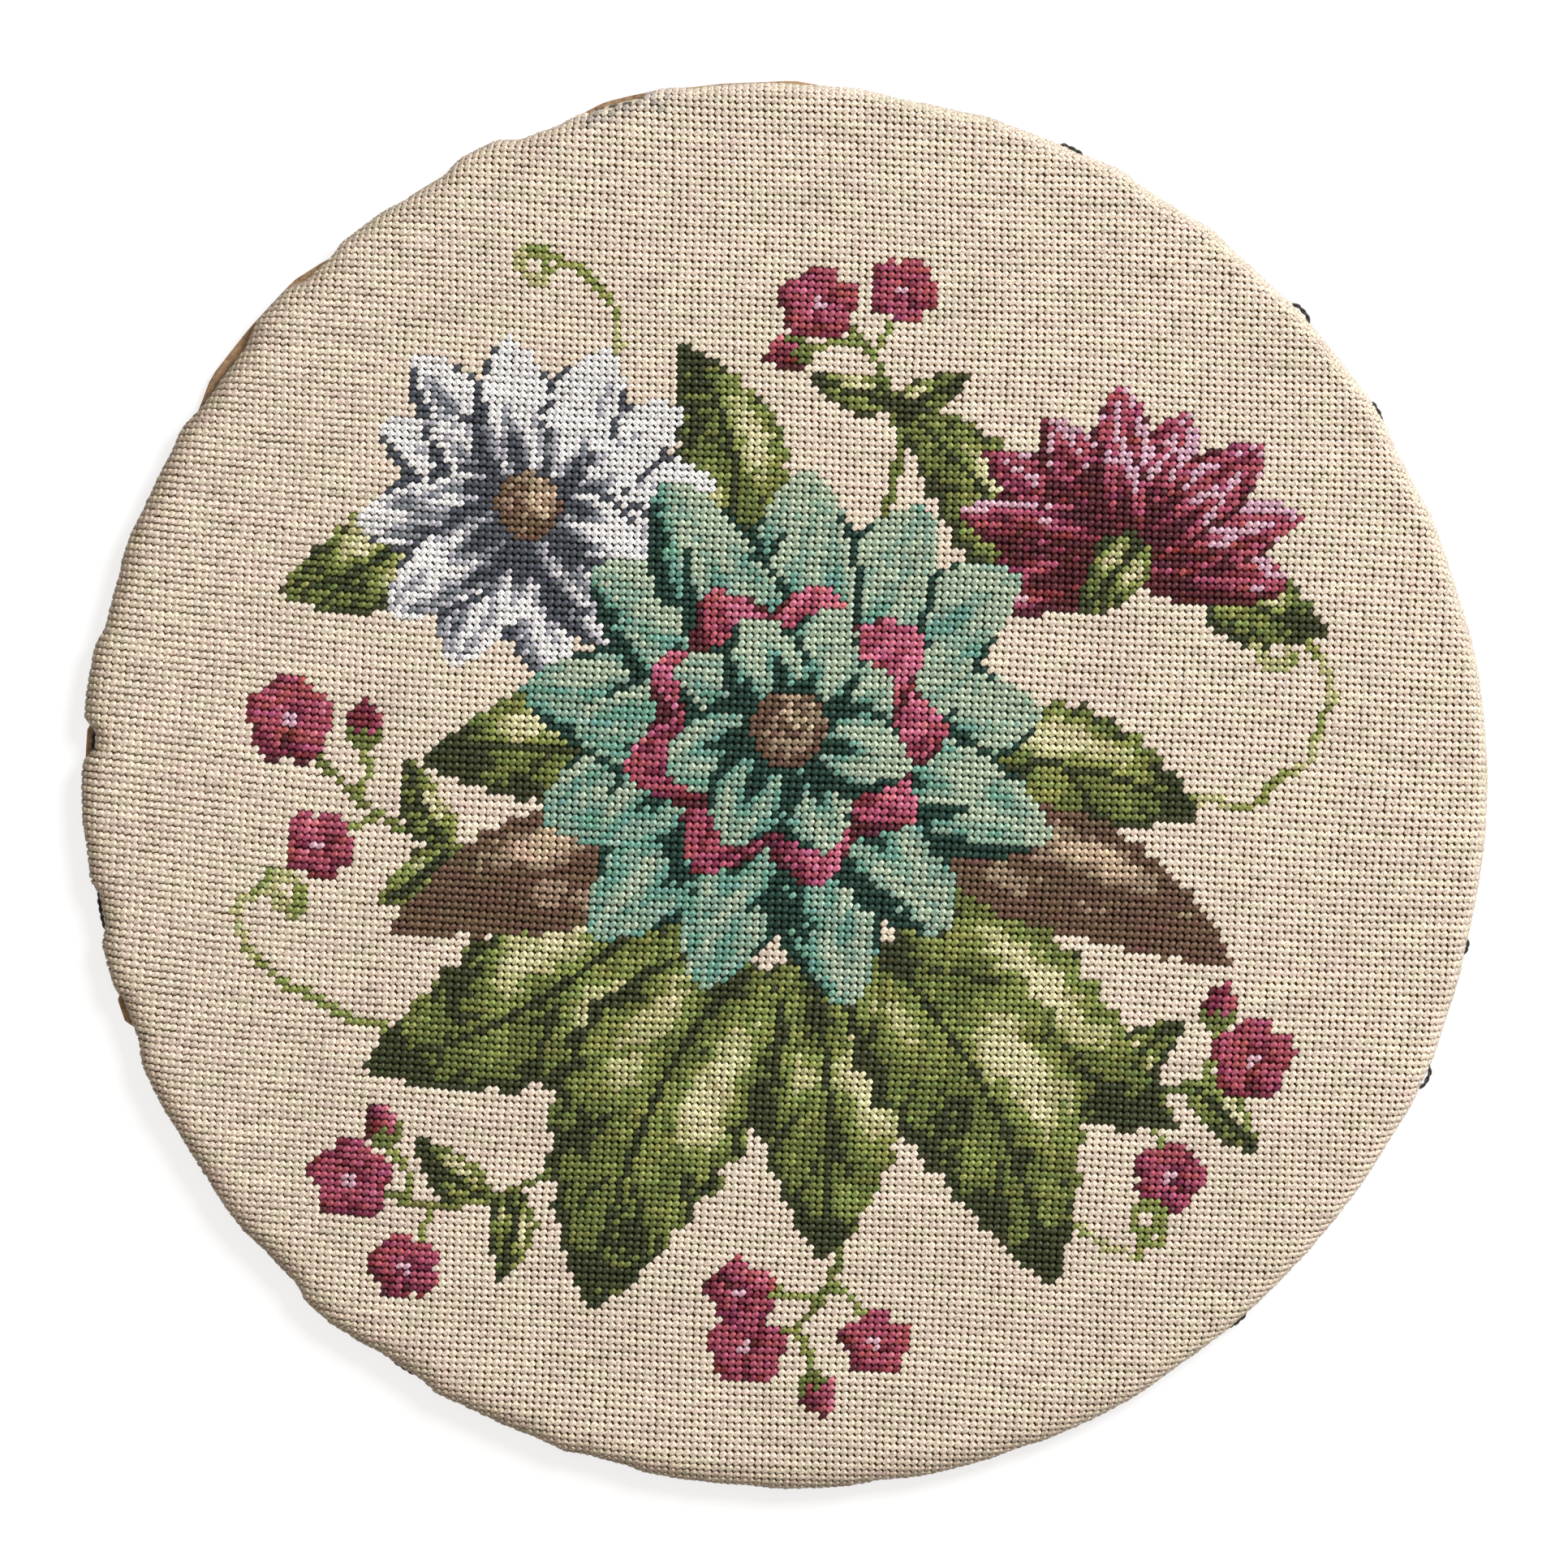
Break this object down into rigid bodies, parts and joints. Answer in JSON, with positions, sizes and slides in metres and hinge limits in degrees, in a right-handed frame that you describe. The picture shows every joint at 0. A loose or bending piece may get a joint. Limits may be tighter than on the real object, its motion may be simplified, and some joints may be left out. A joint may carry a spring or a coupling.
{
  "type": "needlepoint canvas panel on a round board",
  "caption": "Round needlepoint canvas panel in tent stitch, stretched over a plain round board and rolled over its edge, with a thin black cord under the rim.",
  "frame": {"origin": "centre of the board's flat back, on the surface that the panel lies on", "axes": "+Z out of the worked face, +Y to the top of the design, +X to its right"},
  "size_m": [0.3566, 0.3574, 0.011],
  "materials": {
    "worked_yarn": "cotton and wool yarn in plump tent stitches with a soft sheen, cream ground with a coloured design",
    "brown_board": "raw pressed wood board, matt, rough at its cut edge",
    "black_cord": "thin twisted cotton cord, black, matt"
  },
  "bodies": {
    "root": {"worked_canvas": "worked_yarn", "round_board": "brown_board", "edge_cord": "black_cord"}
  },
  "joints": []
}
